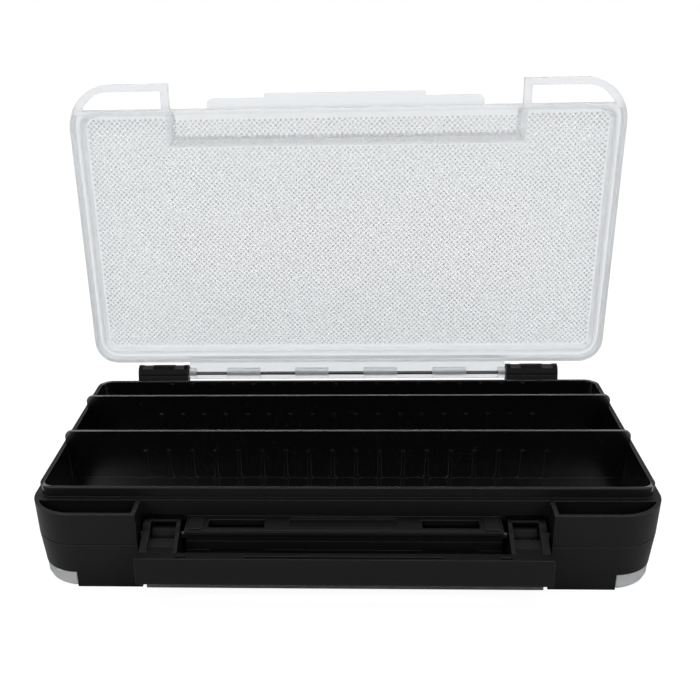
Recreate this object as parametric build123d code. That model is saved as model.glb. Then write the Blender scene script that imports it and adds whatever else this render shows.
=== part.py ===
from build123d import *
from dataclasses import dataclass
import os

# Driving dimensions, mm. Pieces are drawn closed, with X across the box, Y measured back from
# the front plane of the body, and Z measured away from the middle plane. Pieces of the lower
# side are drawn the same way and mirrored. The box then stands on Z = 0, centred on the origin.
centre_y = 62.4
middle_z = 18.8

# Body outline at the ledges, and how far it draws in at the middle plane
body_half_width = 115.0
body_depth = 124.0
front_corner = 17.0
rear_corner = 10.0
middle_inset = 0.3
parting_groove = 0.3
skin = 1.5
floor_thickness = 1.3

# Tray walls and lanes
tray_front_y = 13.4
tray_rear_y = 118.0
tray_corner = 6.0
tray_wall = 1.6
lane_draft = 0.5
divider_front_faces = (50.9, 86.7)
divider_thickness = 1.3
divider_corner = 2.4

# Upright ribs on the lane walls
rib_count = 18
rib_pitch = 9.4
rib_width = 1.4
rib_depth = 0.8
rib_root = 0.6
rib_foot_width = 3.6
rib_foot_height = 1.2
divider_rib_top = 13.6
wall_rib_drop = 0.8

# Latch bay in the middle of the front, with strap holes at both corners
bay_half_width = 74.5
bay_back_y = 11.4
strap_hole_inner_x = 76.0
strap_hole_back_y = 11.2
pocket_inner_x = 58.9
pocket_back_y = 14.2
pocket_height = 6.4
pocket_wall = 1.4
foot_inner_x = 74.5
foot_outer_x = 98.7
foot_thickness = 2.6

# Shelf between the latch arms, half of it on each tray
shelf_half_width = 57.2
shelf_front_y = 0.5
shelf_top = 5.9
shelf_plate = 2.2
shelf_web_y = (3.4, 4.8)
shelf_cheek = 4.0
shelf_edge = 0.6
shelf_slot_width = 20.7
shelf_slot_depth = 5.8
shelf_slot_x = 38.8
shelf_slot_y = 5.8
panel_recess_width = 39.5
panel_recess_depth = 7.0
panel_recess_y = 6.8
panel_recess_corner = 1.6
panel_recess_sink = 0.8
shelf_lug_x = (50.9, 55.8)
shelf_lug_y = (1.0, 9.0)
shelf_lug_rise = 0.7

# Latch pins at the middle plane, shared by both latches
pivot_y = 8.0
pin_radius = 1.3
pin_inner_x = 54.2
pin_outer_x = 75.4
pin_end_gap = 0.1
running_clearance = 0.05
seat_clearance = 0.02

# Latches
latch_half_width = 73.4
latch_corner = 1.2
latch_end_wall = 1.6
lip_rear_y = 6.1
lip_bottom = 13.6
slit_half_width = 35.0
slit_depth = 2.4
slit_heights = (16.5, 18.4)
small_slot_x = (55.0, 59.2)
outer_leg_x = (70.4, 73.0)
inner_leg_x = (59.4, 60.8)
knuckle_radius = 5.9
tail_bar_radius = 0.65
lower_arm_x = (61.2, 70.0)
lower_knuckle_radius = 3.2
upper_latch_open = 80.0
lower_latch_open = 12.0

# Lids
lid_wall = 1.5
lid_front_y = 10.5
lid_rear_y = 123.0
lid_front_corner = 18.0
panel_half_width = 114.1
panel_front_y = 11.6
panel_rear_y = 120.6
panel_corner = 7.0
panel_slope = 0.8
recess_half_widths = (72.4, 76.0)
recess_back_ys = (21.8, 25.5)
loop_inner_x = 73.7
loop_bar = 3.1
catch_half_width = 58.0
catch_front_y = 6.4
catch_corner = 2.4
catch_thickness = 1.2
tongue_half_width = 33.6
finger_lip_half_width = 72.9
finger_lip_height = 2.6
foot_gap = 0.3
upper_lid_open = 90.0

# Hinges at the rear
hinge_y = 129.5
hinge_pin_radius = 0.8
hinge_pin_half_length = 96.0
hinge_pin_end_gap = 0.3
lug_radius = 4.1
lug_x = (74.1, 97.4)
lug_flats_x = ((76.2, 80.6), (90.6, 95.4))
lug_flat_height = 3.1
lug_bracket_front_y = 124.1
lug_bracket_foot = 6.0
lug_blend = 0.6
lug_shoulder = 1.2
leaf_half_width = 73.6
leaf_plate = 1.5
leaf_lip = 3.3
barrel_radius = 2.6
barrel_width = 15.5
barrel_centres = (-48.0, -16.0, 16.0, 48.0)
leaf_end_barrel = 3.1

# Where the middle of a rounded edge lies from both its faces, as a share of its radius
arc_middle = 0.3

# How far a joined solid reaches into its neighbour, and a cut past the face that it opens
joined = 0.4
past = 1.0


@dataclass
class Tray:
    """Heights of one tray above the middle plane, and its width at the ledge and above it."""

    ledge: float
    rim: float
    divider_top: float
    divider_half_width: float
    ledge_inset: float
    wall_half_width: float
    hinge: float
    foot: float
    rib_feet: bool


@dataclass
class Lid:
    """Heights of one closed lid above the middle plane, and its outline."""

    half_width: float
    front_y: float
    corner: float
    edge: float
    skirt: float
    border: float
    panel: float
    plate: float
    loop_top: float
    loop_hole_front_y: float
    catch: float
    tongue_front_y: float
    hinge: float


@dataclass
class Latch:
    """The bar of one closed latch: its front face, its end, its plates and the foot of the face."""

    face_y: float
    end: float
    plate: float
    front_bottom: float


upper_tray = Tray(
    ledge=12.6, rim=16.4, divider_top=21.9, divider_half_width=112.1, ledge_inset=0.0,
    wall_half_width=113.3, hinge=15.4, foot=0.0, rib_feet=True,
)
lower_tray = Tray(
    ledge=12.5, rim=16.3, divider_top=16.6, divider_half_width=110.6, ledge_inset=1.4,
    wall_half_width=111.4, hinge=14.5, foot=18.8, rib_feet=False,
)
upper_lid = Lid(
    half_width=116.5, front_y=0.0, corner=lid_front_corner, edge=0.8, skirt=12.9, border=19.4,
    panel=23.8, plate=1.3, loop_top=17.2, loop_hole_front_y=2.7, catch=16.8, tongue_front_y=4.6,
    hinge=15.4,
)
lower_lid = Lid(
    half_width=113.5, front_y=0.9, corner=front_corner, edge=2.0, skirt=12.8, border=18.8,
    panel=18.8, plate=1.4, loop_top=18.8, loop_hole_front_y=5.9, catch=12.9, tongue_front_y=5.2,
    hinge=14.5,
)
upper_latch = Latch(face_y=-3.6, end=19.4, plate=1.8, front_bottom=11.6)
lower_latch = Latch(face_y=0.5, end=15.8, plate=1.4, front_bottom=13.4)

# Side views of the latch arms, in Y and Z: the legs, the web between them, and the lower arm,
# which fits into the corner between the face and the end plate of its bar
leg_profile = [
    (-3.6, 13.0), (-3.6, 19.4), (6.1, 19.4), (6.1, 13.6),
    (10.4, 6.2), (12.0, 3.0), (4.0, -3.0), (3.0, 3.8),
]
web_profile = [(6.1, 14.0), (6.5, 9.5), (8.2, 4.9), (6.8, 4.3), (5.0, 9.0), (4.3, 14.0)]
lower_arm_profile = [
    (0.5, 12.6), (0.5, 13.4), (1.9, 13.4), (1.9, 14.4),
    (6.1, 14.4), (6.1, 10.8), (10.6, 1.8), (5.6, -1.8),
]


def block(x, y, z):
    """A box from its low and high values along each axis."""
    size = (x[1] - x[0], y[1] - y[0], z[1] - z[0])
    return Pos(sum(x) / 2, sum(y) / 2, sum(z) / 2) * Box(*size)


def both_sides(solid):
    """A solid together with its mirror image across the box."""
    return solid + mirror(solid, about=Plane.YZ)


def rod(radius, x, y, z):
    """A cylinder along X between two places."""
    return Pos(sum(x) / 2, y, z) * Rot(0, 90, 0) * Cylinder(radius, x[1] - x[0])


def side_plate(points, x):
    """A plate standing across X, from its outline in Y and Z."""
    plane = Plane(origin=(x[0], 0, 0), x_dir=(0, 1, 0), z_dir=(1, 0, 0))
    return extrude(plane * Polygon(*points, align=None), amount=x[1] - x[0], dir=(1, 0, 0))


def outline(half_width, front_y, rear_y, front_radius, rear_radius):
    """A plan outline with its own corner radius at the front and at the rear."""
    face = Pos(0, (front_y + rear_y) / 2) * Rectangle(2 * half_width, rear_y - front_y)
    face = fillet(face.vertices().group_by(Axis.Y)[0], front_radius)
    return fillet(face.vertices().group_by(Axis.Y)[-1], rear_radius)


def body_outline(inset):
    """The outline of the body, drawn in on all four sides."""
    return outline(
        body_half_width - inset, inset, body_depth - inset, front_corner - inset, rear_corner - inset
    )


def tapered(*levels):
    """A solid whose straight walls lean from one outline to the next, each given with its height."""
    return loft([Pos(0, 0, z) * face for face, z in levels], ruled=True)


def rib_outline(top, has_foot):
    """The front view of a rib, with or without a wider foot on the floor."""
    side = rib_width / 2
    foot = rib_foot_width / 2
    shoulder = floor_thickness + rib_foot_height
    if has_foot:
        left = [(-side, top), (-side, shoulder), (-foot, floor_thickness)]
    else:
        left = [(-side, top), (-side, floor_thickness)]
    right = [(-x, z) for x, z in reversed(left)]
    return Polygon(*left, *right, align=None)


def rib_row(face_y, depth, top, has_foot):
    """A row of upright ribs on a lane wall. A negative depth faces the front."""
    root = rib_root if depth < 0 else -rib_root
    plane = Plane(origin=(0, face_y - root, 0), x_dir=(1, 0, 0), z_dir=(0, -1, 0))
    first_x = -rib_pitch * (rib_count - 1) / 2
    rib = rib_outline(top, has_foot)
    ribs = [plane * Pos(first_x + index * rib_pitch, 0) * rib for index in range(rib_count)]
    direction = (0, 1 if depth < 0 else -1, 0)
    return [extrude(face, amount=rib_depth + rib_root, dir=direction) for face in ribs]


def lane_ribs(tray):
    """The ribs on both faces of the dividers and on the front and rear walls."""
    wall_top = tray.rim - wall_rib_drop
    first_face = divider_front_faces[0]
    ribs = rib_row(tray_front_y + tray_wall, -rib_depth, wall_top, tray.rib_feet)
    ribs += rib_row(tray_rear_y - tray_wall, rib_depth, wall_top, False)
    for face in divider_front_faces:
        ribs += rib_row(face, rib_depth, divider_rib_top, tray.rib_feet and face == first_face)
        ribs += rib_row(face + divider_thickness, -rib_depth, divider_rib_top, False)
    return ribs


def divider(tray, front_face):
    """A wall along a lane, with rounded ends that stand above the rim of the tray."""
    height = tray.divider_top
    face = Pos(0, height / 2) * Rectangle(2 * tray.divider_half_width, height)
    face = fillet(face.vertices().group_by(Axis.Y)[-1], divider_corner)
    plane = Plane(origin=(0, front_face, 0), x_dir=(1, 0, 0), z_dir=(0, -1, 0))
    return extrude(plane * face, amount=divider_thickness, dir=(0, 1, 0))


def lanes(tray):
    """The hollow of the tray, a little narrower at its floor."""
    half_width = tray.wall_half_width - tray_wall
    front = tray_front_y + tray_wall
    rear = tray_rear_y - tray_wall
    corner = tray_corner - tray_wall
    low = outline(half_width - lane_draft, front + lane_draft, rear - lane_draft, corner, corner)
    return tapered((low, floor_thickness), (outline(half_width, front, rear, corner, corner), tray.rim))


def strap_hole(tray):
    """The hole down through a front corner, which keeps an even skin on the outer wall."""
    low = body_outline(middle_inset + skin)
    high = body_outline(tray.ledge_inset + skin)
    limit = block((strap_hole_inner_x, body_half_width), (0, strap_hole_back_y), (0, tray.ledge))
    return both_sides(tapered((low, 0), (high, tray.ledge)) & limit)


def latch_bay(tray):
    """The room for both latches: the bay itself and a pocket in its back for the knuckles."""
    bay = block((-bay_half_width, bay_half_width), (-past, bay_back_y), (0, tray.rim))
    pocket = block((pocket_inner_x, bay_half_width), (0, pocket_back_y), (0, pocket_height))
    return bay + both_sides(pocket)


def pocket_walls():
    """The inside of the knuckle pockets, which show as two humps on the front wall of the lanes."""
    x = (pocket_inner_x - pocket_wall, bay_half_width + pocket_wall)
    y = (tray_front_y, pocket_back_y + pocket_wall)
    return both_sides(block(x, y, (0, pocket_height + pocket_wall)))


def shelf():
    """Half of the shelf: a plate over a web, with cheeks, raised lugs, two slots and a sunk panel."""
    x = (-shelf_half_width, shelf_half_width)
    back = bay_back_y + joined
    plate = block(x, (shelf_front_y, back), (shelf_top - shelf_plate, shelf_top))
    plate = chamfer(plate.edges().group_by(Axis.Y)[0].filter_by(Axis.X), shelf_edge)
    web = block(x, shelf_web_y, (0, shelf_top - shelf_plate))
    cheek_x = (shelf_half_width - shelf_cheek, shelf_half_width)
    cheek = block(cheek_x, (shelf_web_y[0], back), (0, shelf_top))
    lug = block(shelf_lug_x, shelf_lug_y, (shelf_top - joined, shelf_top + shelf_lug_rise))
    slot = Pos(shelf_slot_x, shelf_slot_y) * Rectangle(shelf_slot_width, shelf_slot_depth)
    slot = extrude(Pos(0, 0, shelf_top - shelf_plate) * slot, amount=shelf_plate)
    panel = RectangleRounded(panel_recess_width, panel_recess_depth, panel_recess_corner)
    panel = extrude(Pos(0, panel_recess_y, shelf_top - panel_recess_sink) * panel, amount=past)
    return plate + web + both_sides(cheek + lug) - both_sides(slot) - panel


def hinge_lugs(tray):
    """The two barrels on the rear wall that hold the ends of the hinge pin."""
    barrel = rod(lug_radius, lug_x, hinge_y, tray.hinge)
    foot = tray.ledge - lug_bracket_foot
    shoulder = tray.ledge - joined
    bracket = side_plate(
        [
            (tray_rear_y, foot),
            (lug_bracket_front_y, foot),
            (hinge_y + lug_radius - lug_blend, tray.hinge - lug_blend),
            (hinge_y, tray.hinge + lug_radius - lug_blend),
            (lug_bracket_front_y + lug_shoulder, tray.hinge),
            (lug_bracket_front_y, shoulder),
            (tray_rear_y, shoulder),
        ],
        lug_x,
    )
    lug = barrel + bracket
    y = (hinge_y - lug_radius - past, hinge_y + lug_radius + past)
    z = (tray.hinge + lug_flat_height, tray.hinge + lug_radius + past)
    for flat_x in lug_flats_x:
        lug -= block(flat_x, y, z)
    return both_sides(lug)


def feet(tray):
    """Two tongues of the front wall that reach down beside the lid as feet."""
    front = tray.ledge_inset
    y = (front, front + foot_thickness)
    return both_sides(block((foot_inner_x, foot_outer_x), y, (tray.ledge - past, tray.foot)))


def tray_shell(tray):
    """The outside of a tray: the drafted wall with a groove at the parting line, and the rim."""
    shell = tapered(
        (body_outline(middle_inset + parting_groove), 0),
        (body_outline(middle_inset), parting_groove),
        (body_outline(tray.ledge_inset), tray.ledge),
    )
    wall = outline(tray.wall_half_width, tray_front_y, tray_rear_y, tray_corner, tray_corner)
    return shell + extrude(wall, amount=tray.rim)


def make_tray(tray):
    """One tray of the body."""
    solid = tray_shell(tray) - lanes(tray) - strap_hole(tray) + pocket_walls() - latch_bay(tray)
    solid += [divider(tray, front_face) for front_face in divider_front_faces]
    solid = solid + lane_ribs(tray) + shelf() + hinge_lugs(tray)
    if tray.foot:
        solid += feet(tray)
    seat_x = (pin_inner_x - pin_end_gap, pin_outer_x + pin_end_gap)
    pin_seat = rod(pin_radius + seat_clearance, seat_x, pivot_y, 0)
    bore_end = hinge_pin_half_length + hinge_pin_end_gap
    hinge_bore = rod(hinge_pin_radius + seat_clearance, (-bore_end, bore_end), hinge_y, tray.hinge)
    return solid - both_sides(pin_seat) - hinge_bore


def lid_outline(lid, inset):
    """The outline of a lid with its corner loops, drawn in on all sides."""
    half_width = lid.half_width - inset
    rear = rear_corner - inset
    return outline(half_width, lid.front_y + inset, lid_rear_y - inset, lid.corner - inset, rear)


def lid_slab(lid):
    """A lid as one thick plate with a rounded outer edge."""
    middle = lid.edge * arc_middle
    rounding = [(middle, lid.border - middle), (lid.edge, lid.border)]
    straight = [(0, lid.skirt), (0, lid.border - lid.edge)]
    return tapered(*[(lid_outline(lid, inset), z) for inset, z in straight + rounding])


def front_openings(lid):
    """What is cut from the front of a lid: the room for the latch and the holes in the loops."""
    y = (lid.front_y - past, lid_front_y)
    cut = block((-loop_inner_x, loop_inner_x), y, (lid.skirt - past, lid.border + past))
    if lid.loop_top < lid.border:
        cut += block((-lid.half_width, lid.half_width), y, (lid.loop_top, lid.border + past))
    corner = lid.corner - loop_bar
    hole = outline(
        lid.half_width - loop_bar, lid.loop_hole_front_y, lid_rear_y - loop_bar, corner, rear_corner
    )
    z = (lid.skirt - past, lid.border + past)
    hole = extrude(Pos(0, 0, z[0]) * hole, amount=z[1] - z[0])
    return cut + both_sides(hole & block((loop_inner_x + loop_bar, lid.half_width), y, z))


def lid_hollow(lid):
    """The inside of a lid under its border."""
    face = lid_outline(lid, lid_wall)
    front_edge = lid_front_y + lid_wall
    face -= Pos(0, front_edge - lid.half_width) * Rectangle(2 * lid.half_width, 2 * lid.half_width)
    return extrude(Pos(0, 0, lid.skirt) * face, amount=lid.border - lid.plate - lid.skirt)


def panel_block(lid, wall):
    """The raised middle of the upper lid, or its inside when it is drawn a wall smaller."""
    corner = panel_corner - wall

    def face(inset):
        return outline(
            panel_half_width - inset, panel_front_y + inset, panel_rear_y - inset, corner, corner
        )

    low = lid.border if wall == 0 else lid.border - wall - joined
    raised = tapered((face(wall), low), (face(wall + panel_slope), lid.panel - wall))
    sides = []
    for half_width, back, z in zip(recess_half_widths, recess_back_ys, (lid.border, lid.panel)):
        side = back + wall
        sides.append((Pos(0, side / 2) * Rectangle(2 * (half_width + wall), side), z - wall))
    return raised - tapered(*sides)


def catch_flange(lid):
    """The flange on the front edge, with the tongue that the latch holds."""
    depth = lid_front_y + joined - catch_front_y
    face = Pos(0, catch_front_y + depth / 2) * Rectangle(2 * catch_half_width, depth)
    face = fillet(face.vertices().group_by(Axis.Y)[0], catch_corner)
    flange = extrude(Pos(0, 0, lid.catch) * face, amount=catch_thickness)
    tongue = block(
        (-tongue_half_width, tongue_half_width),
        (lid.tongue_front_y, catch_front_y + past),
        (lid.catch, lid.catch + catch_thickness),
    )
    return flange + tongue


def hinge_leaf(lid):
    """The leaf behind the lid, with four barrels and two end barrels on the hinge pin."""
    x = (-leaf_half_width, leaf_half_width)
    top = lid.hinge + barrel_radius
    solid = block(x, (lid_rear_y - lid_wall + joined, hinge_y + leaf_lip), (top - leaf_plate, top))
    for centre in barrel_centres:
        barrel_x = (centre - barrel_width / 2, centre + barrel_width / 2)
        solid += rod(barrel_radius, barrel_x, hinge_y, lid.hinge)
    end = rod(barrel_radius, (leaf_half_width - leaf_end_barrel, leaf_half_width), hinge_y, lid.hinge)
    bore = rod(hinge_pin_radius + running_clearance, (x[0] - past, x[1] + past), hinge_y, lid.hinge)
    return solid + both_sides(end) - bore


def make_lid(lid):
    """One lid, closed. The upper one has a raised panel, the lower one is flat."""
    solid = lid_slab(lid) - front_openings(lid)
    if lid.panel > lid.border:
        solid += panel_block(lid, 0)
    solid -= lid_hollow(lid)
    if lid.panel > lid.border:
        solid -= panel_block(lid, lid.plate)
    return solid + catch_flange(lid) + hinge_leaf(lid)


def make_lower_lid(lid):
    """The lower lid, closed, with a finger lip in the bay and notches for the feet."""
    x = (-finger_lip_half_width, finger_lip_half_width)
    lip = block(x, (lid.front_y, lid_front_y + joined), (lid.border - finger_lip_height, lid.border))
    notch = block(
        (foot_inner_x - past, foot_outer_x + foot_gap),
        (-past, lower_tray.ledge_inset + foot_thickness + foot_gap),
        (0, lid.border + past),
    )
    return make_lid(lid) + lip - both_sides(notch)


def latch_block(latch):
    """The outside of the bar of a latch."""
    depth = lip_rear_y - latch.face_y
    face = Pos(0, latch.face_y + depth / 2) * RectangleRounded(2 * latch_half_width, depth, latch_corner)
    return extrude(Pos(0, 0, latch.front_bottom) * face, amount=latch.end - latch.front_bottom)


def upper_bar(latch):
    """The bar of the upper latch: a face, an end plate and a lip, open towards the pivot."""
    inner_x = latch_half_width - latch_end_wall
    hollow_y = (latch.face_y + latch.plate, lip_rear_y - latch.plate)
    hollow = block((-inner_x, inner_x), hollow_y, (latch.front_bottom, latch.end - latch.plate))
    wide = (-latch_half_width, latch_half_width)
    behind = block(wide, (sum(hollow_y) / 2, lip_rear_y), (latch.front_bottom - past, lip_bottom))
    return latch_block(latch) - hollow - behind


def latch_slits():
    """The long slit for the tongue and the two short ones beside it."""
    y = (lip_rear_y - slit_depth, lip_rear_y + past)
    slit = block((-slit_half_width, slit_half_width), y, slit_heights)
    return slit + both_sides(block(small_slot_x, y, slit_heights))


def make_upper_latch():
    """The upper latch, closed: a bar on two windowed arms."""
    solid = upper_bar(upper_latch)
    for leg_x in (outer_leg_x, inner_leg_x):
        solid += both_sides(side_plate(leg_profile, leg_x) + rod(knuckle_radius, leg_x, pivot_y, 0))
    arm_x = (inner_leg_x[0], outer_leg_x[1])
    tail_y = pivot_y + knuckle_radius - tail_bar_radius
    solid += both_sides(side_plate(web_profile, arm_x) + rod(tail_bar_radius, arm_x, tail_y, 0))
    bore = rod(pin_radius + running_clearance, (arm_x[0] - past, arm_x[1] + past), pivot_y, 0)
    return solid - latch_slits() - both_sides(bore)


def make_lower_bar(latch):
    """The bar of the lower latch, closed: a face and an end plate that goes over the tongue."""
    wide = (-latch_half_width, latch_half_width)
    corner_y = (latch.face_y + latch.plate, lip_rear_y + past)
    return latch_block(latch) - block(wide, corner_y, (latch.front_bottom - past, latch.end - latch.plate))


def make_lower_arm(x):
    """An arm of the lower latch, which turns between the legs of the other latch."""
    arm = side_plate(lower_arm_profile, x) + rod(lower_knuckle_radius, x, pivot_y, 0)
    return arm - rod(pin_radius + running_clearance, (x[0] - past, x[1] + past), pivot_y, 0)


def upper(solid):
    """Puts a piece of the upper side in its place."""
    return Pos(0, -centre_y, middle_z) * solid


def lower(solid):
    """Puts a piece of the lower side in its place, by mirroring it in the middle plane."""
    return upper(mirror(solid, about=Plane.XY))


def turned(solid, y, z, angle):
    """Turns a placed piece about an axis across the box."""
    return solid.rotate(Axis((0, y - centre_y, z), (1, 0, 0)), angle)


def make_parts():
    """Every piece of the box in its rest position, by name."""
    hinge_z = middle_z + upper_tray.hinge
    hinge_pin = (-hinge_pin_half_length, hinge_pin_half_length)
    latch_pin = rod(pin_radius, (pin_inner_x, pin_outer_x), pivot_y, 0)
    lower_bar = make_lower_bar(lower_latch)
    right_arm = make_lower_arm(lower_arm_x)
    left_arm = make_lower_arm((-lower_arm_x[1], -lower_arm_x[0]))
    return {
        "upper_tray": upper(make_tray(upper_tray)),
        "lower_tray": lower(make_tray(lower_tray)),
        "upper_lid": turned(upper(make_lid(upper_lid)), hinge_y, hinge_z, -upper_lid_open),
        "lower_lid": lower(make_lower_lid(lower_lid)),
        "upper_latch": turned(upper(make_upper_latch()), pivot_y, middle_z, upper_latch_open),
        "lower_latch": turned(lower(lower_bar), pivot_y, middle_z, -lower_latch_open),
        "lower_latch_arm_right": turned(lower(right_arm), pivot_y, middle_z, -lower_latch_open),
        "lower_latch_arm_left": turned(lower(left_arm), pivot_y, middle_z, -lower_latch_open),
        "upper_hinge_pin": upper(rod(hinge_pin_radius, hinge_pin, hinge_y, upper_tray.hinge)),
        "lower_hinge_pin": lower(rod(hinge_pin_radius, hinge_pin, hinge_y, lower_tray.hinge)),
        "latch_pin_right": upper(latch_pin),
        "latch_pin_left": upper(mirror(latch_pin, about=Plane.YZ)),
    }


os.makedirs("parts", exist_ok=True)
for name, solid in make_parts().items():
    export_step(solid, f"parts/{name}.step")
    box = solid.bounding_box()
    print(name, len(solid.solids()), round(solid.volume / 1000, 2), "cm3", box.min, box.max)
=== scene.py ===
"""The look of a two-sided lure box: finishes, moulded lid texture, studio and camera.

The frame holds every moulded piece and pin. This script gives each its finish, moulds the fine
dots on the inside of both lids, and sets a plain bright studio with the photograph's view.
All places are in metres in the frame: X runs along the hinges, Y to the rear and Z up.
"""

from __future__ import annotations

import logging
import math
from dataclasses import dataclass, field
from enum import Enum
from typing import Any

import bpy
from mathutils import Matrix, Vector

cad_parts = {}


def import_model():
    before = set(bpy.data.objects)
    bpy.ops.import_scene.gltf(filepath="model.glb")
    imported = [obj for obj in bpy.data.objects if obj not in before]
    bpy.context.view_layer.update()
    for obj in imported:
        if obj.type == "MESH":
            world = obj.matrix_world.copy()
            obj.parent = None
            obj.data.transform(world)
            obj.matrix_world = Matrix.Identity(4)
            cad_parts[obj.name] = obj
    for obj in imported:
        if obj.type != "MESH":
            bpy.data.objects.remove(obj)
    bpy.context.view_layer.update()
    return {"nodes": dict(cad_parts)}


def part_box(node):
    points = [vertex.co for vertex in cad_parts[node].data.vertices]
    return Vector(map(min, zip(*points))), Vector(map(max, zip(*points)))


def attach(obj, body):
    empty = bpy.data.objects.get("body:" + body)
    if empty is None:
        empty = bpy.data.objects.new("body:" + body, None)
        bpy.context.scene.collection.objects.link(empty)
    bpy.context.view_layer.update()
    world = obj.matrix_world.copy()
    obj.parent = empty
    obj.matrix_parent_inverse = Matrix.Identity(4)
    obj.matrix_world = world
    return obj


LOG = logging.getLogger("lure_box")
MM = 0.001
IMAGE_PIXELS = 700
NOISE_SPAN = (0.35, 0.65)
WHITE = (1.0, 1.0, 1.0, 1.0)


class Side(Enum):
    """The two working sides of the box."""

    UPPER = "upper"
    LOWER = "lower"


def linear(hex_colour: str) -> tuple[float, float, float, float]:
    """Turns an sRGB hex colour into linear values.

    Args:
        hex_colour: Six hex digits after a hash sign.

    Returns:
        Linear red, green and blue, and an alpha of one.
    """
    values = []
    for start in (1, 3, 5):
        coded = int(hex_colour[start:start + 2], 16) / 255
        values.append(coded / 12.92 if coded <= 0.04045 else ((coded + 0.055) / 1.055) ** 2.4)
    return values[0], values[1], values[2], 1.0


def add_node(
    tree: bpy.types.NodeTree, kind: str, settings: dict[str, Any] | None = None, **inputs: Any
) -> bpy.types.Node:
    """Adds a node, sets its properties and fills its inputs.

    Args:
        tree: The node tree that takes the node.
        kind: The node's Blender type name.
        settings: Values of the node's own properties, by name.
        **inputs: Values or output sockets for the inputs. A name is the socket's own in lower case
            with underscores for blanks, or in_ and its place in the list.

    Returns:
        The new node.
    """
    node = tree.nodes.new(kind)
    for name, value in (settings or {}).items():
        setattr(node, name, value)
    for name, value in inputs.items():
        if name.startswith("in_"):
            socket = node.inputs[int(name[3:])]
        else:
            socket = next(
                s for s in node.inputs if s.enabled and s.name.lower().replace(" ", "_") == name
            )
        if isinstance(value, bpy.types.NodeSocket):
            tree.links.new(value, socket)
        else:
            socket.default_value = value
    return node


def new_material(name: str) -> tuple[bpy.types.Material, bpy.types.NodeTree]:
    """Makes an empty node material.

    Args:
        name: The finish's plain name.

    Returns:
        The material and its node tree.
    """
    material = bpy.data.materials.new(name)
    material.use_nodes = True
    material.node_tree.nodes.clear()
    return material, material.node_tree


def finish_surface(tree: bpy.types.NodeTree, shader: bpy.types.NodeSocket) -> None:
    """Joins a shader to the material's surface output.

    Args:
        tree: The material's node tree.
        shader: The shader's output.
    """
    add_node(tree, "ShaderNodeOutputMaterial", surface=shader)


def add_math(
    tree: bpy.types.NodeTree, operation: str, *values: bpy.types.NodeSocket | float
) -> bpy.types.NodeSocket:
    """Adds one step of arithmetic.

    Args:
        tree: The node tree.
        operation: Blender's name for the step.
        *values: What it works on, in the order of the node's inputs.

    Returns:
        The result.
    """
    inputs = {f"in_{index}": value for index, value in enumerate(values)}
    return add_node(tree, "ShaderNodeMath", {"operation": operation}, **inputs).outputs[0]


def add_noise(
    tree: bpy.types.NodeTree, place: bpy.types.NodeSocket, size_mm: float, detail: float, **inputs: Any
) -> bpy.types.NodeSocket:
    """Adds fractal noise.

    Args:
        tree: The material's node tree.
        place: The point on the piece.
        size_mm: The size of its broadest patches.
        detail: How many finer layers it has.
        **inputs: Further inputs of the noise, as add_node takes them.

    Returns:
        The noise.
    """
    return add_node(
        tree, "ShaderNodeTexNoise", vector=place, scale=1 / (size_mm * MM), detail=detail, **inputs
    ).outputs[0]


def spread_noise(
    tree: bpy.types.NodeTree, noise: bpy.types.NodeSocket, low: float, high: float
) -> bpy.types.NodeSocket:
    """Spreads the middle values of noise over a range.

    Args:
        tree: The material's node tree.
        noise: The noise.
        low: The low end of the range.
        high: The high end of the range.

    Returns:
        The spread values.
    """
    return add_node(
        tree, "ShaderNodeMapRange", value=noise,
        from_min=NOISE_SPAN[0], from_max=NOISE_SPAN[1], to_min=low, to_max=high,
    ).outputs[0]


def round_edges(tree: bpy.types.NodeTree, radius_mm: float, samples: int) -> bpy.types.NodeSocket:
    """Rounds the shading of sharp edges.

    Args:
        tree: The material's node tree.
        radius_mm: The radius of the rounding.
        samples: How many rays look for an edge.

    Returns:
        The rounded normal.
    """
    return add_node(tree, "ShaderNodeBevel", {"samples": samples}, radius=radius_mm * MM).outputs[0]


def mix_shaders(
    tree: bpy.types.NodeTree,
    share: bpy.types.NodeSocket | float,
    first: bpy.types.Node,
    second: bpy.types.Node,
) -> bpy.types.Node:
    """Mixes two shaders.

    Args:
        tree: The node tree.
        share: The share of the second one, from zero to one.
        first: The shader that shows where the share is zero.
        second: The shader that shows where the share is one.

    Returns:
        The mixed shader.
    """
    return add_node(
        tree, "ShaderNodeMixShader", in_0=share, in_1=first.outputs[0], in_2=second.outputs[0]
    )


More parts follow.
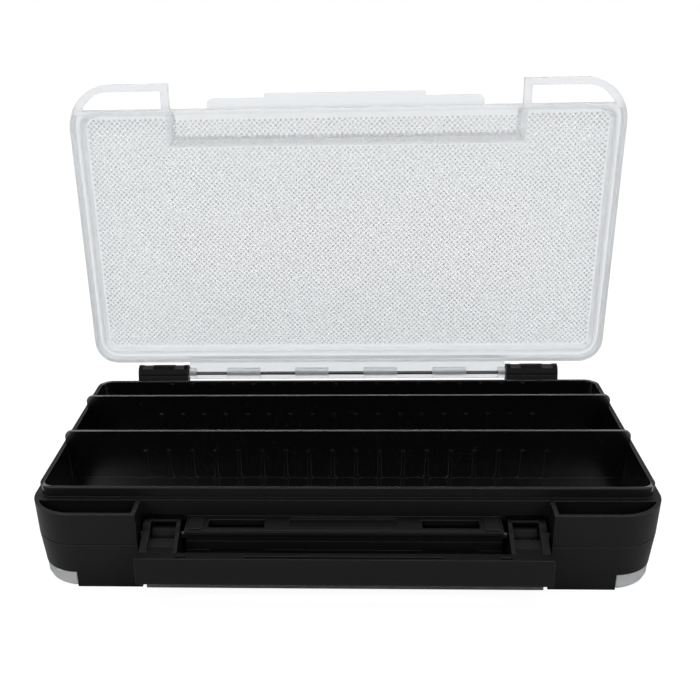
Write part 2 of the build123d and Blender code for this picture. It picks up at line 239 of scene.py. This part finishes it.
@dataclass(frozen=True)
class MouldedBlack:
    """Black ABS from a steel mould: spark-eroded outside, polished in the lanes.

    The outside scatters its highlights into a faint grey sheen. The lanes are smooth and look
    nearly pure black. Handling leaves duller and shinier patches. The edges carry a painted
    highlight: a raised specular level where the rounded shading turns away from the flat face.
    """

    name: str = "black moulded ABS"
    colour: str = "#0d0d0e"
    lane_colour: str = "#060607"
    outside_roughness: float = 0.50
    patch_roughness: float = 0.58
    lane_roughness: float = 0.18
    specular: float = 0.13
    painted_highlight_specular: float = 0.7
    lane_specular: float = 1.0
    ior: float = 1.53
    patch_mm: float = 38.0
    patch_detail: float = 3.0
    patch_noise_roughness: float = 0.6
    grain_mm: float = 0.5
    grain_detail: float = 2.0
    grain_strength: float = 0.16
    grain_depth_mm: float = 0.06
    edge_mm: float = 0.35
    painted_highlight_likeness: tuple[float, float] = (0.99, 0.8)
    bevel_samples: int = 6
    lane_edge_mm: float = 0.18
    lane_half_width_mm: float = 111.8
    lane_front_mm: float = -47.5
    lane_rear_mm: float = 54.1
    has_lanes: bool = False

    def lane_mask(self, tree: bpy.types.NodeTree, place: bpy.types.NodeSocket) -> bpy.types.NodeSocket:
        """Marks the polished faces inside the lane walls.

        Args:
            tree: The material's node tree.
            place: The point on the piece.

        Returns:
            A value that is one inside the walls and zero outside.
        """
        split = add_node(tree, "ShaderNodeSeparateXYZ", vector=place)
        middle = (self.lane_front_mm + self.lane_rear_mm) / 2 * MM
        half_depth = (self.lane_rear_mm - self.lane_front_mm) / 2 * MM
        side = add_math(tree, "ABSOLUTE", split.outputs["X"])
        across = add_math(tree, "LESS_THAN", side, self.lane_half_width_mm * MM)
        along = add_math(tree, "COMPARE", split.outputs["Y"], middle, half_depth)
        return add_math(tree, "MULTIPLY", across, along)

    def build(self) -> bpy.types.Material:
        """Builds the material.

        Returns:
            The finished material.
        """
        material, tree = new_material(self.name + (" with lanes" if self.has_lanes else ""))
        place = add_node(tree, "ShaderNodeTexCoord").outputs["Object"]
        patches = add_noise(
            tree, place, self.patch_mm, self.patch_detail, roughness=self.patch_noise_roughness
        )
        roughness = spread_noise(tree, patches, self.outside_roughness, self.patch_roughness)
        grain = add_noise(tree, place, self.grain_mm, self.grain_detail)
        rounded = round_edges(tree, self.edge_mm, self.bevel_samples)
        relief = add_node(
            tree, "ShaderNodeBump", height=grain, strength=self.grain_strength,
            distance=self.grain_depth_mm * MM, normal=rounded,
        ).outputs[0]
        # Painted highlight on the edges: the specular level rises where the rounded shading turns away
        # from the flat face.
        flat = add_node(tree, "ShaderNodeNewGeometry").outputs["Normal"]
        likeness = add_node(
            tree, "ShaderNodeVectorMath", {"operation": "DOT_PRODUCT"}, in_0=rounded, in_1=flat
        )
        painted_edge_highlight = add_node(
            tree, "ShaderNodeMapRange", value=likeness.outputs["Value"],
            from_min=self.painted_highlight_likeness[0], from_max=self.painted_highlight_likeness[1],
            to_min=self.specular, to_max=self.painted_highlight_specular,
        )
        shader = add_node(
            tree, "ShaderNodeBsdfPrincipled", base_color=linear(self.colour), roughness=roughness,
            ior=self.ior, specular_ior_level=painted_edge_highlight.outputs[0], normal=relief,
        )
        if self.has_lanes:
            crisp = round_edges(tree, self.lane_edge_mm, self.bevel_samples)
            polished = add_node(
                tree, "ShaderNodeBsdfPrincipled", base_color=linear(self.lane_colour),
                roughness=self.lane_roughness, ior=self.ior, specular_ior_level=self.lane_specular,
                normal=crisp,
            )
            shader = mix_shaders(tree, self.lane_mask(tree, place), shader, polished)
        finish_surface(tree, shader.outputs[0])
        return material


@dataclass(frozen=True)
class FrostedLid:
    """Natural polypropylene, moulded frosted: it lets most light through and blurs what is behind."""

    name: str = "frosted natural polypropylene"
    colour: str = "#edeff1"
    transmission: float = 0.90
    roughness: float = 0.42
    cloud_roughness: float = 0.5
    cloud_mm: float = 25.0
    cloud_detail: float = 3.0
    ior: float = 1.49
    scatter: float = 0.0
    edge_mm: float = 0.3
    bevel_samples: int = 4

    def build(self) -> bpy.types.Material:
        """Builds the material.

        Returns:
            The finished material.
        """
        material, tree = new_material(self.name)
        place = add_node(tree, "ShaderNodeTexCoord").outputs["Object"]
        clouds = add_noise(tree, place, self.cloud_mm, self.cloud_detail)
        roughness = spread_noise(tree, clouds, self.roughness, self.cloud_roughness)
        rounded = round_edges(tree, self.edge_mm, self.bevel_samples)
        shader = add_node(
            tree, "ShaderNodeBsdfPrincipled", base_color=linear(self.colour), roughness=roughness,
            ior=self.ior, transmission_weight=self.transmission, normal=rounded,
        )
        if self.scatter:
            through = add_node(tree, "ShaderNodeBsdfTranslucent", color=linear(self.colour))
            shader = mix_shaders(tree, self.scatter, shader, through)
        finish_surface(tree, shader.outputs[0])
        return material


@dataclass(frozen=True)
class DrawnSteel:
    """Drawn steel wire, with fine lines along its length from the die.

    Between the black trays it has little to mirror, so it looks mid grey.
    """

    name: str = "drawn steel wire"
    colour: str = "#77787b"
    roughness: float = 0.38
    line_mm: float = 0.25
    line_stretch: float = 0.03
    line_detail: float = 2.0
    line_strength: float = 0.2
    line_depth_mm: float = 0.02

    def build(self) -> bpy.types.Material:
        """Builds the material.

        Returns:
            The finished material.
        """
        material, tree = new_material(self.name)
        place = add_node(tree, "ShaderNodeTexCoord").outputs["Object"]
        drawn = add_node(tree, "ShaderNodeMapping", vector=place, scale=(self.line_stretch, 1.0, 1.0))
        lines = add_noise(tree, drawn.outputs[0], self.line_mm, self.line_detail)
        relief = add_node(
            tree, "ShaderNodeBump", height=lines, strength=self.line_strength,
            distance=self.line_depth_mm * MM,
        )
        shader = add_node(
            tree, "ShaderNodeBsdfPrincipled", base_color=linear(self.colour), metallic=1.0,
            roughness=self.roughness, normal=relief.outputs[0],
        )
        finish_surface(tree, shader.outputs[0])
        return material


@dataclass(frozen=True)
class FrostedDots(FrostedLid):
    """The same polypropylene where the mould was spark eroded.

    Each dot scatters the light that comes through it, so it looks white and never clear.
    """

    name: str = "frosted polypropylene dots"
    colour: str = "#ffffff"
    transmission: float = 0.0
    roughness: float = 0.55
    cloud_roughness: float = 0.62
    scatter: float = 0.9


@dataclass
class LidDots:
    """The fine low domes moulded in staggered rows on the inside of a lid.

    The rows follow the real inner faces, so they also cover the recess and its slanted back.
    """

    side: Side
    half_width_mm: float = 111.0
    front_mm: float = 14.6
    rear_mm: float = 118.0
    pitch_mm: float = 2.26
    dot_radius_mm: float = 0.62
    dot_top: float = 0.5
    dot_height_mm: float = 0.16
    sunk_mm: float = 0.04
    dot_sides: int = 6
    least_depth_mm: float = 4.5
    ray_mm: float = 30.0

    def cast_field(self) -> tuple[Vector, tuple[float, float, float], Vector]:
        """Finds the flat field in front of the lid's inside from which the dots are cast on it.

        Returns:
            The field's middle, its turn, and the way to the lid.
        """
        low, high = (Vector(corner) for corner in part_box(f"{self.side.value}_lid"))
        middle = (self.front_mm + self.rear_mm) / 2 * MM
        if self.side is Side.UPPER:
            return Vector((0, low.y, high.z - middle)), (math.pi / 2, 0, 0), Vector((0, 1, 0))
        return Vector((0, low.y + middle, high.z)), (0, 0, 0), Vector((0, 0, -1))

    def inputs(self) -> dict[str, tuple[str, float]]:
        """Lists the tree's named inputs.

        Returns:
            The socket type and value of each input, by name.
        """
        columns = int(2 * self.half_width_mm / self.pitch_mm) + 1
        rows = int((self.rear_mm - self.front_mm) / self.pitch_mm) + 1
        return {
            "Columns": ("NodeSocketInt", columns),
            "Rows": ("NodeSocketInt", rows),
            "Pitch": ("NodeSocketFloat", self.pitch_mm * MM),
            "Dot radius": ("NodeSocketFloat", self.dot_radius_mm * MM),
            "Dot height": ("NodeSocketFloat", self.dot_height_mm * MM),
            "Sunk": ("NodeSocketFloat", self.sunk_mm * MM),
            "Least depth": ("NodeSocketFloat", self.least_depth_mm * MM),
        }

    def lattice(self, tree: bpy.types.NodeTree, given: bpy.types.Node, fewer: int) -> bpy.types.NodeSocket:
        """Adds a square grid of points.

        Args:
            tree: The node tree.
            given: The tree's inputs.
            fewer: How many columns and rows it has less than the whole field.

        Returns:
            The grid.
        """
        counts, sizes = [], []
        for name in ("Columns", "Rows"):
            count = add_math(tree, "SUBTRACT", given.outputs[name], fewer)
            gaps = add_math(tree, "SUBTRACT", count, 1)
            counts.append(count)
            sizes.append(add_math(tree, "MULTIPLY", gaps, given.outputs["Pitch"]))
        return add_node(
            tree, "GeometryNodeMeshGrid",
            size_x=sizes[0], size_y=sizes[1], vertices_x=counts[0], vertices_y=counts[1],
        ).outputs["Mesh"]

    def dome(self, tree: bpy.types.NodeTree, given: bpy.types.Node) -> bpy.types.NodeSocket:
        """Adds one low dome, smooth shaded.

        Args:
            tree: The node tree.
            given: The tree's inputs.

        Returns:
            The dome.
        """
        top = add_math(tree, "MULTIPLY", given.outputs["Dot radius"], self.dot_top)
        cone = add_node(
            tree, "GeometryNodeMeshCone", vertices=self.dot_sides, radius_top=top,
            radius_bottom=given.outputs["Dot radius"], depth=given.outputs["Dot height"],
        )
        return add_node(tree, "GeometryNodeSetShadeSmooth", geometry=cone.outputs["Mesh"]).outputs[0]

    def build_tree(self, lid: bpy.types.Object, material: bpy.types.Material) -> bpy.types.NodeTree:
        """Builds the node tree that casts the dots on the lid.

        Args:
            lid: The lid.
            material: The dots' finish.

        Returns:
            The tree.
        """
        tree = bpy.data.node_groups.new(f"{self.side.value} lid dots", "GeometryNodeTree")
        for name, (kind, _) in self.inputs().items():
            tree.interface.new_socket(name, in_out="INPUT", socket_type=kind)
        tree.interface.new_socket("Geometry", in_out="OUTPUT", socket_type="NodeSocketGeometry")
        given = add_node(tree, "NodeGroupInput")
        middle, turn, way = self.cast_field()

        both = add_node(tree, "GeometryNodeJoinGeometry")
        for fewer in (0, 1):
            tree.links.new(self.lattice(tree, given, fewer), both.inputs[0])
        sheet = add_node(
            tree, "GeometryNodeTransform", geometry=both.outputs[0], translation=middle, rotation=turn
        )
        shape = add_node(tree, "GeometryNodeObjectInfo", in_0=lid)
        cast = add_node(
            tree, "GeometryNodeRaycast", target_geometry=shape.outputs["Geometry"],
            ray_direction=way, ray_length=self.ray_mm * MM,
        )
        deep = add_node(
            tree, "FunctionNodeCompare", {"operation": "LESS_THAN"},
            in_0=cast.outputs["Hit Distance"], in_1=given.outputs["Least depth"],
        )
        kept = add_node(
            tree, "GeometryNodeDeleteGeometry", geometry=sheet.outputs[0], selection=deep.outputs[0]
        )
        marked = add_node(
            tree, "GeometryNodeStoreNamedAttribute", {"data_type": "FLOAT_VECTOR"},
            geometry=kept.outputs[0], name="outward", value=cast.outputs["Hit Normal"],
        )
        sink = add_node(
            tree, "ShaderNodeVectorMath", {"operation": "SCALE"},
            in_0=cast.outputs["Hit Normal"], scale=given.outputs["Sunk"],
        )
        seat = add_node(
            tree, "ShaderNodeVectorMath", {"operation": "SUBTRACT"},
            in_0=cast.outputs["Hit Position"], in_1=sink.outputs[0],
        )
        placed = add_node(
            tree, "GeometryNodeSetPosition", geometry=marked.outputs[0], position=seat.outputs[0]
        )
        outward = add_node(
            tree, "GeometryNodeInputNamedAttribute", {"data_type": "FLOAT_VECTOR"}, name="outward"
        )
        facing = add_node(
            tree, "FunctionNodeAlignRotationToVector", {"axis": "Z"}, vector=outward.outputs["Attribute"]
        )
        dots = add_node(
            tree, "GeometryNodeInstanceOnPoints", points=placed.outputs[0],
            instance=self.dome(tree, given), rotation=facing.outputs[0],
        )
        solid = add_node(tree, "GeometryNodeRealizeInstances", geometry=dots.outputs[0])
        dressed = add_node(tree, "GeometryNodeSetMaterial", geometry=solid.outputs[0], material=material)
        add_node(tree, "NodeGroupOutput", geometry=dressed.outputs[0])
        return tree

    def build(self, lid: bpy.types.Object, material: bpy.types.Material) -> None:
        """Makes the dots as one plain mesh that moves with the lid.

        Args:
            lid: The lid.
            material: The dots' finish.
        """
        name = f"{self.side.value}_lid_dots"
        source = bpy.data.objects.new(name + "_source", bpy.data.meshes.new(name + "_source"))
        bpy.context.scene.collection.objects.link(source)
        modifier = source.modifiers.new("dots", "NODES")
        modifier.node_group = self.build_tree(lid, material)
        values = {title: value for title, (_, value) in self.inputs().items()}
        for item in modifier.node_group.interface.items_tree:
            if item.in_out == "INPUT":
                modifier[item.identifier] = values[item.name]
        evaluated = source.evaluated_get(bpy.context.evaluated_depsgraph_get())
        mesh = bpy.data.meshes.new_from_object(evaluated)
        bpy.data.objects.remove(source)
        mesh.name = name
        piece = bpy.data.objects.new(name, mesh)
        bpy.context.scene.collection.objects.link(piece)
        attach(piece, f"{self.side.value}_lid")
        LOG.info("%s: %d faces", name, len(mesh.polygons))


@dataclass
class Lids:
    """Both lids, with the dots moulded on their insides."""

    finish: FrostedLid = field(default_factory=FrostedLid)
    dot_finish: FrostedDots = field(default_factory=FrostedDots)

    def build(self, nodes: dict[str, bpy.types.Object]) -> None:
        """Dresses the lids and adds the dots.

        Args:
            nodes: The frame's pieces by name.
        """
        material = self.finish.build()
        dot_material = self.dot_finish.build()
        for side in Side:
            lid = nodes[f"{side.value}_lid"]
            dress(lid, material)
            LidDots(side).build(lid, dot_material)


@dataclass
class Trays:
    """The two trays, joined back to back."""

    finish: MouldedBlack = field(default_factory=lambda: MouldedBlack(has_lanes=True))

    def build(self, nodes: dict[str, bpy.types.Object]) -> None:
        """Dresses the trays.

        Args:
            nodes: The frame's pieces by name.
        """
        material = self.finish.build()
        for side in Side:
            dress(nodes[f"{side.value}_tray"], material)


@dataclass
class Latches:
    """The two swing latches in the front bay."""

    finish: MouldedBlack = field(default_factory=MouldedBlack)

    def build(self, nodes: dict[str, bpy.types.Object]) -> None:
        """Dresses the latches.

        Args:
            nodes: The frame's pieces by name.
        """
        material = self.finish.build()
        for name, piece in nodes.items():
            if "_latch" in name:
                dress(piece, material)


@dataclass
class Pins:
    """The hinge pins and latch pins."""

    finish: DrawnSteel = field(default_factory=DrawnSteel)

    def build(self, nodes: dict[str, bpy.types.Object]) -> None:
        """Dresses the pins.

        Args:
            nodes: The frame's pieces by name.
        """
        material = self.finish.build()
        for name, piece in nodes.items():
            if "pin" in name:
                dress(piece, material)


def dress(piece: bpy.types.Object, material: bpy.types.Material) -> None:
    """Gives a whole piece one finish.

    Args:
        piece: The piece.
        material: Its finish.
    """
    slots = piece.data.materials
    if slots:
        for index in range(len(slots)):
            slots[index] = material
    else:
        slots.append(material)
    LOG.info("%s: %s", piece.name, material.name)


@dataclass(frozen=True)
class Lamp:
    """A large soft lamp: its place, the point that it faces, its width and height, and its watts."""

    name: str
    place: tuple[float, float, float]
    target: tuple[float, float, float]
    size: tuple[float, float]
    power: float

    def build(self) -> None:
        """Hangs the lamp."""
        lamp = bpy.data.lights.new(self.name, "AREA")
        lamp.shape = "RECTANGLE"
        lamp.size, lamp.size_y = self.size
        lamp.energy = self.power
        holder = bpy.data.objects.new(self.name, lamp)
        holder.location = self.place
        direction = Vector(self.target) - Vector(self.place)
        holder.rotation_euler = direction.to_track_quat("-Z", "Y").to_euler()
        bpy.context.scene.collection.objects.link(holder)


LAMPS = (
    Lamp("overhead", (0.0, 0.25, 1.1), (0.0, 0.0, 0.0), (1.4, 1.0), 5.5),
    Lamp("front_left", (-0.8, -1.0, 0.7), (0.0, 0.0, 0.05), (0.8, 0.8), 7.0),
    Lamp("front_right", (0.8, -1.0, 0.7), (0.0, 0.0, 0.05), (0.8, 0.8), 7.0),
)


@dataclass
class Studio:
    """A plain bright studio: a pale floor, white surroundings and large soft lamps."""

    floor_half_width: float = 12.0
    floor_colour: str = "#f2f2f2"
    ambient: float = 0.42
    rear_gain: float = 2.3
    front_glow: float = 0.09
    shade_half_width: float = 0.13
    shade_half_depth: float = 0.085
    shade_fade: tuple[float, float] = (0.9, 1.5)
    glow_span: tuple[float, float] = (-0.6, 0.7)
    seen_white: float = 1.15
    seen_share: float = 0.8

    def build_floor(self) -> None:
        """Makes the pale floor: nearly white to the eye, with a soft shadow.

        Seen through a lid it is white as well, but not close under the box, where it lies in shade.
        """
        mesh = bpy.data.meshes.new("floor")
        reach = self.floor_half_width
        corners = [(-reach, -reach, 0), (reach, -reach, 0), (reach, reach, 0), (-reach, reach, 0)]
        mesh.from_pydata(corners, [], [(0, 1, 2, 3)])
        floor = bpy.data.objects.new("floor", mesh)
        bpy.context.scene.collection.objects.link(floor)
        material, tree = new_material("pale studio floor")
        matt = add_node(tree, "ShaderNodeBsdfDiffuse", color=linear(self.floor_colour))
        white = add_node(tree, "ShaderNodeEmission", color=WHITE, strength=self.seen_white)
        path = add_node(tree, "ShaderNodeLightPath")
        place = add_node(tree, "ShaderNodeTexCoord").outputs["Object"]
        scaled = add_node(
            tree, "ShaderNodeVectorMath", {"operation": "MULTIPLY"},
            in_0=place, in_1=(1 / self.shade_half_width, 1 / self.shade_half_depth, 0),
        )
        away = add_node(tree, "ShaderNodeVectorMath", {"operation": "LENGTH"}, in_0=scaled.outputs[0])
        open_floor = add_node(
            tree, "ShaderNodeMapRange", value=away.outputs["Value"],
            from_min=self.shade_fade[0], from_max=self.shade_fade[1],
        )
        through = add_math(
            tree, "MULTIPLY", path.outputs["Is Transmission Ray"], open_floor.outputs[0]
        )
        seen = add_math(tree, "MAXIMUM", path.outputs["Is Camera Ray"], through)
        share = add_math(tree, "MULTIPLY", seen, self.seen_share)
        finish_surface(tree, mix_shaders(tree, share, matt, white).outputs[0])
        mesh.materials.append(material)

    def build_world(self) -> None:
        """Makes the surroundings: white to the eye and through the lids, dim in front for gloss."""
        world = bpy.data.worlds.new("studio")
        bpy.context.scene.world = world
        world.use_nodes = True
        tree = world.node_tree
        tree.nodes.clear()
        path = add_node(tree, "ShaderNodeLightPath")
        place = add_node(tree, "ShaderNodeTexCoord").outputs["Generated"]
        split = add_node(tree, "ShaderNodeSeparateXYZ", vector=place)
        glow = add_node(
            tree, "ShaderNodeMapRange", value=split.outputs["Y"],
            from_min=self.glow_span[0], from_max=self.glow_span[1],
            to_min=self.front_glow, to_max=self.ambient * self.rear_gain,
        )
        seen = add_math(
            tree, "MAXIMUM", path.outputs["Is Camera Ray"], path.outputs["Is Transmission Ray"]
        )
        around = add_node(tree, "ShaderNodeBackground", color=WHITE, strength=glow.outputs[0])
        white = add_node(tree, "ShaderNodeBackground", color=WHITE, strength=1.0)
        mix = mix_shaders(tree, seen, around, white)
        add_node(tree, "ShaderNodeOutputWorld", surface=mix.outputs[0])

    def build(self) -> None:
        """Builds the floor, the surroundings and the lamps."""
        self.build_floor()
        self.build_world()
        for lamp in LAMPS:
            lamp.build()
        bpy.context.scene.view_settings.view_transform = "Standard"


@dataclass
class PhotoCamera:
    """The camera that took the photograph, fitted to the corners of the box."""

    place: tuple[float, float, float] = (0.00491, -0.36954, 0.20778)
    pitch_down: float = 25.714
    turn: float = -3.06
    tilt: float = -1.333
    focal_pixels: float = 998.56
    axis_pixel: tuple[float, float] = (308.52, 443.89)
    sensor_mm: float = 36.0
    clip_start: float = 0.01

    def build(self) -> None:
        """Places the camera and makes it the scene's own."""
        pitch, turn, tilt = (math.radians(a) for a in (self.pitch_down, self.turn, self.tilt))
        forward = Vector((
            math.sin(turn) * math.cos(pitch), math.cos(turn) * math.cos(pitch), -math.sin(pitch)
        ))
        right = Vector((math.cos(turn), -math.sin(turn), 0.0))
        up = right.cross(forward)
        side = right * math.cos(tilt) + up * math.sin(tilt)
        top = up * math.cos(tilt) - right * math.sin(tilt)
        camera = bpy.data.cameras.new("photo_camera")
        camera.sensor_width = self.sensor_mm
        camera.lens = self.focal_pixels / IMAGE_PIXELS * self.sensor_mm
        camera.shift_x = (IMAGE_PIXELS / 2 - self.axis_pixel[0]) / IMAGE_PIXELS
        camera.shift_y = (self.axis_pixel[1] - IMAGE_PIXELS / 2) / IMAGE_PIXELS
        camera.clip_start = self.clip_start
        holder = bpy.data.objects.new("photo_camera", camera)
        turned = Matrix((side, top, -forward)).transposed().to_4x4()
        holder.matrix_world = Matrix.Translation(self.place) @ turned
        bpy.context.scene.collection.objects.link(holder)
        bpy.context.scene.camera = holder


def main() -> None:
    """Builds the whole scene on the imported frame."""
    logging.basicConfig(level=logging.INFO, format="%(name)s %(message)s")
    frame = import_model()
    nodes = frame["nodes"]
    PhotoCamera().build()
    Studio().build()
    for part in (Trays(), Lids(), Latches(), Pins()):
        part.build(nodes)


if __name__ == "__main__":
    main()
